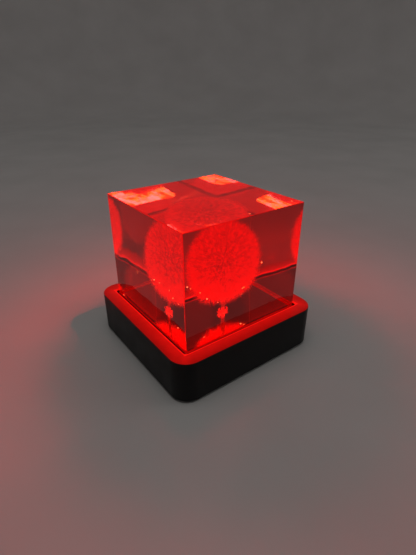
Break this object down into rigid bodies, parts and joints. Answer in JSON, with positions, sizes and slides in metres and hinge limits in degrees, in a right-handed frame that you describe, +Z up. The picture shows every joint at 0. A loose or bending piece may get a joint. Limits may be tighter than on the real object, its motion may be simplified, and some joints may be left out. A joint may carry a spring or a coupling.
{
  "type": "light-up display block",
  "caption": "Clear cast block holding a dandelion seed head, lit red by a square battery base; the block lifts off, and the switch and battery door slide.",
  "frame": {"origin": "middle of the base's square outline, at the level of the undersides of the feet", "axes": "+Z up through the block; -X and -Y are the two front sides, and the switch and battery door are at +Y"},
  "size_m": [0.075, 0.075, 0.069],
  "materials": {
    "clear_resin": "polished clear cast resin",
    "fluff": "dry silky plant hairs",
    "stalk": "dried plant stalk and leaves",
    "seed": "dry ribbed seeds",
    "black_plastic": "satin moulded",
    "frosted_window": "frosted, lit red from below",
    "white_plastic": "matte white moulded",
    "circuit_board": "solder mask",
    "lamp": "clear dome over three coloured dies, lit red",
    "chip": "moulded epoxy",
    "capacitor_sleeve": "shrink sleeve",
    "resistor_ceramic": "matte with plated ends",
    "cream_plastic": "moulded header",
    "red_wire": "soft insulation",
    "black_wire": "soft insulation",
    "grey_wire": "soft insulation",
    "cell_jacket": "satin printed jacket over bare ends",
    "nickel": "nickel plated spring steel",
    "screw_steel": "zinc plated",
    "rubber": "matte"
  },
  "bodies": {
    "base": {"base_housing": "black_plastic", "window_lens": "frosted_window", "reflector_frame": "white_plastic", "led_board": "circuit_board", "bottom_cover": "black_plastic", "battery_tray": "black_plastic", "contact_negative": "nickel", "contact_positive": "nickel", "contact_link_1": "nickel", "contact_link_2": "nickel", "control_board": "circuit_board", "board_screw_1": "screw_steel", "board_screw_2": "screw_steel", "controller_chip": "chip", "capacitor": "capacitor_sleeve", "lead_connector": "cream_plastic", "battery_lead_negative": "black_wire", "battery_lead_positive": "red_wire", "switched_lead": "red_wire", "switch_body": "chip", "led_1": "lamp", "led_2": "lamp", "led_3": "lamp", "led_4": "lamp", "led_5": "lamp", "led_6": "lamp", "battery_1": "cell_jacket", "contact_spring_1": "nickel", "resistor_1": "resistor_ceramic", "battery_2": "cell_jacket", "contact_spring_2": "nickel", "resistor_2": "resistor_ceramic", "battery_3": "cell_jacket", "contact_spring_3": "nickel", "resistor_3": "resistor_ceramic", "cover_screw_1": "screw_steel", "rubber_foot_1": "rubber", "led_lead_1": "grey_wire", "cover_screw_2": "screw_steel", "rubber_foot_2": "rubber", "led_lead_2": "grey_wire", "cover_screw_3": "screw_steel", "rubber_foot_3": "rubber", "led_lead_3": "grey_wire", "cover_screw_4": "screw_steel", "rubber_foot_4": "rubber", "led_lead_4": "grey_wire"},
    "block": {"resin_block": "clear_resin", "pappus_ball": "fluff", "flower_stem": "stalk", "seed_receptacle": "seed", "bracts": "stalk"},
    "slider": {"switch_slider": "chip"},
    "door": {"battery_door": "black_plastic"}
  },
  "joints": [
    {"name": "block_lift", "type": "slide", "parent": "base", "child": "block", "axis": [0, 0, 1], "range_m": [0, 0.06]},
    {"name": "switch_slide", "type": "slide", "parent": "base", "child": "slider", "axis": [1, 0, 0], "range_m": [-0.003, 0]},
    {"name": "battery_door_slide", "type": "slide", "parent": "base", "child": "door", "axis": [0, 1, 0], "range_m": [0, 0.05]}
  ]
}
